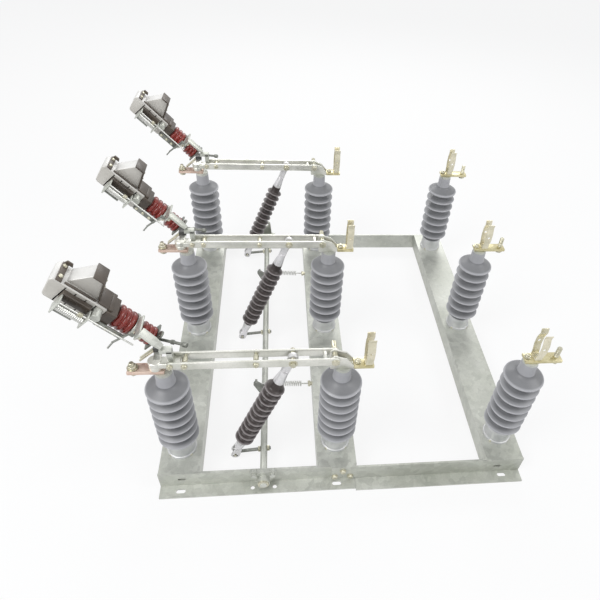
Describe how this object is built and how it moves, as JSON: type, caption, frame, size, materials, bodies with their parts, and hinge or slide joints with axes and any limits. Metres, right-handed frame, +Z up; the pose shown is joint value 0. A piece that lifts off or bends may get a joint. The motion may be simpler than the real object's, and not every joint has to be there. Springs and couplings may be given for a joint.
{
  "type": "pole-mounted load break switch",
  "caption": "Outdoor pole-mounted load break switch: post insulators on a steel frame, twin-bar blades with arc chutes, pull rods on a common shaft, and a fuse base alongside.",
  "frame": {"origin": "centre of the four corner fixing slots, in the plane of the rails' undersides", "axes": "+X along the blades from the arc chutes towards the fuse base, +Y across the phases towards the rear rail, +Z up along the insulators"},
  "size_m": [1.1101, 1.069, 0.602],
  "materials": {
    "galvanised_frame": "hot-dip galvanised",
    "galvanised_dark": "weathered zinc",
    "zinc_fastener": "zinc plated",
    "cast_foot": "cast, dull",
    "insulator_grey": "cast resin, satin",
    "copper_terminal": "bare copper, dull",
    "tinned_contact": "tin plated",
    "chute_shell": "moulded, satin",
    "chute_brown": "moulded, dark brown",
    "red_insulator": "moulded, red-brown",
    "plated_brass": "bright",
    "clip_bronze": "sprung bronze",
    "rod_shed": "dark brown, satin",
    "rod_ferrule": "zinc plated",
    "spring_steel": "zinc plated wire"
  },
  "bodies": {
    "root": {"front_rail_switch": "galvanised_frame", "front_rail_fuse": "galvanised_frame", "rear_rail_switch": "galvanised_frame", "rear_rail_fuse": "galvanised_frame", "splice_bolts": "zinc_fastener", "beam_left": "galvanised_frame", "beam_middle": "galvanised_frame", "beam_right": "galvanised_frame", "insulator_feet_left": "cast_foot", "insulator_feet_middle": "cast_foot", "insulator_feet_right": "cast_foot", "insulators_left": "insulator_grey", "insulators_middle": "insulator_grey", "insulators_right": "insulator_grey", "head_plates": "galvanised_frame", "line_terminals": "copper_terminal", "fixed_contacts": "tinned_contact", "chute_arms": "galvanised_frame", "chute_housings": "chute_shell", "chute_caps": "chute_brown", "chute_bases": "chute_brown", "chute_insulators": "red_insulator", "chute_side_plates": "zinc_fastener", "chute_dampers": "spring_steel", "link_insulators": "red_insulator", "link_rods": "galvanised_dark", "catch_rods": "galvanised_dark", "catch_blocks": "galvanised_dark", "hinge_blocks": "tinned_contact", "fuse_bars": "plated_brass", "fuse_clips_middle": "clip_bronze", "fuse_clips_right": "clip_bronze", "fuse_terminals": "plated_brass", "front_bearing": "galvanised_dark", "rear_bearing": "galvanised_dark", "spring_anchors": "zinc_fastener", "spring_front": "spring_steel", "spring_rear": "spring_steel"},
    "shaft": {"shaft": "galvanised_frame", "cranks": "galvanised_dark", "spring_levers": "galvanised_dark", "operating_lever": "galvanised_frame"},
    "blade_1": {"blade_1": "tinned_contact"},
    "pull_rod_1": {"pull_rod_1": "rod_shed", "rod_ends_1": "rod_ferrule"},
    "blade_2": {"blade_2": "tinned_contact"},
    "pull_rod_2": {"pull_rod_2": "rod_shed", "rod_ends_2": "rod_ferrule"},
    "blade_3": {"blade_3": "tinned_contact"},
    "pull_rod_3": {"pull_rod_3": "rod_shed", "rod_ends_3": "rod_ferrule"}
  },
  "joints": [
    {"name": "shaft_turn", "type": "hinge", "parent": "root", "child": "shaft", "pos_m": [-0.213, 0, 0.033], "axis": [0, 1, 0], "range_deg": [0, 72], "deforming": ["spring_front", "spring_rear"]},
    {"name": "blade_1_hinge", "type": "hinge", "parent": "root", "child": "blade_1", "pos_m": [-0.0456, -0.4175, 0.396], "axis": [0, 1, 0], "range_deg": [0, 56.2]},
    {"name": "rod_1_pivot", "type": "hinge", "parent": "blade_1", "child": "pull_rod_1", "pos_m": [-0.1386, -0.4175, 0.396], "axis": [0, 1, 0], "range_deg": [-56.4, 0]},
    {"name": "blade_2_hinge", "type": "hinge", "parent": "root", "child": "blade_2", "pos_m": [-0.0456, 0.0065, 0.396], "axis": [0, 1, 0], "range_deg": [0, 56.2]},
    {"name": "rod_2_pivot", "type": "hinge", "parent": "blade_2", "child": "pull_rod_2", "pos_m": [-0.1386, 0.0065, 0.396], "axis": [0, 1, 0], "range_deg": [-56.4, 0]},
    {"name": "blade_3_hinge", "type": "hinge", "parent": "root", "child": "blade_3", "pos_m": [-0.0456, 0.4305, 0.396], "axis": [0, 1, 0], "range_deg": [0, 56.2]},
    {"name": "rod_3_pivot", "type": "hinge", "parent": "blade_3", "child": "pull_rod_3", "pos_m": [-0.1386, 0.4305, 0.396], "axis": [0, 1, 0], "range_deg": [-56.4, 0]}
  ],
  "couplings": [
    {"joint": "blade_1_hinge", "follows": "shaft_turn", "ratio": 0.779},
    {"joint": "rod_1_pivot", "follows": "shaft_turn", "ratio": -0.782},
    {"joint": "blade_2_hinge", "follows": "shaft_turn", "ratio": 0.779},
    {"joint": "rod_2_pivot", "follows": "shaft_turn", "ratio": -0.782},
    {"joint": "blade_3_hinge", "follows": "shaft_turn", "ratio": 0.779},
    {"joint": "rod_3_pivot", "follows": "shaft_turn", "ratio": -0.782}
  ]
}
